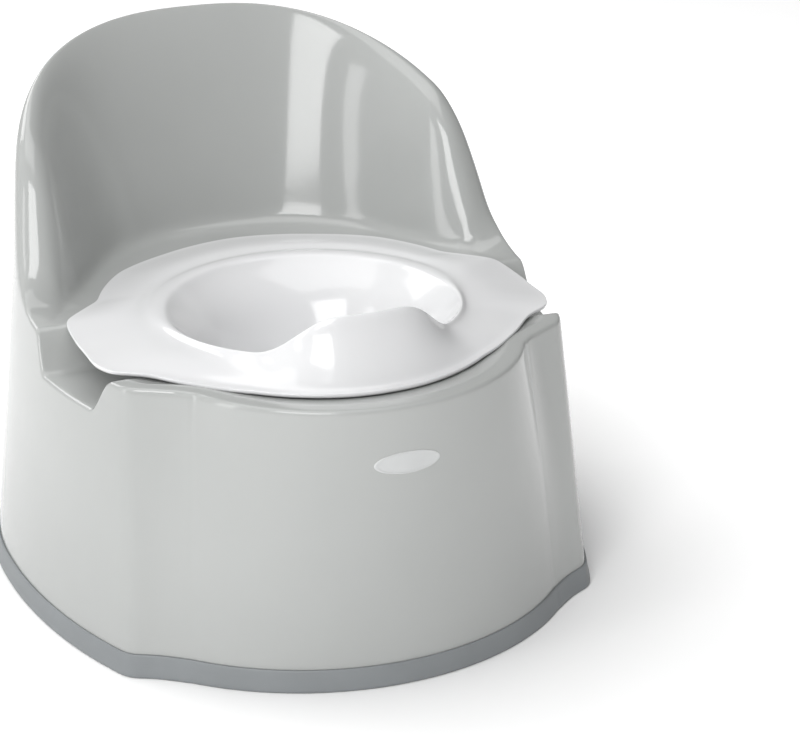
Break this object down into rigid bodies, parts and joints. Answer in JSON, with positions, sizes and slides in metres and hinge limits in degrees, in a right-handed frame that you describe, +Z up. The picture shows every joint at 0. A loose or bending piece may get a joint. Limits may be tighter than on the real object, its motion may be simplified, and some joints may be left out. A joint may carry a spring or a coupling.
{
  "type": "potty training chair",
  "caption": "Child's potty training chair: moulded shell with wrap-around back and hand notches, lift-out bowl with splash guard, non-slip ring at the foot.",
  "frame": {"origin": "on the floor at the middle of the footprint's box", "axes": "+Z up, -Y the front that the sitter faces, +X to the right seen from the front"},
  "size_m": [0.364, 0.385, 0.3135],
  "materials": {
    "shell_plastic": "glossy light grey polypropylene",
    "ring_rubber": "satin dark grey thermoplastic rubber",
    "plaque_plastic": "satin pale grey",
    "bowl_plastic": "glossy white polypropylene"
  },
  "bodies": {
    "chair": {"body_shell": "shell_plastic", "non_slip_base_ring": "ring_rubber", "front_plaque": "plaque_plastic"},
    "potty_bowl": {"bowl": "bowl_plastic"}
  },
  "joints": [
    {"name": "bowl_lift", "type": "slide", "parent": "chair", "child": "potty_bowl", "axis": [0, 0, 1], "range_m": [0, 0.105]}
  ]
}
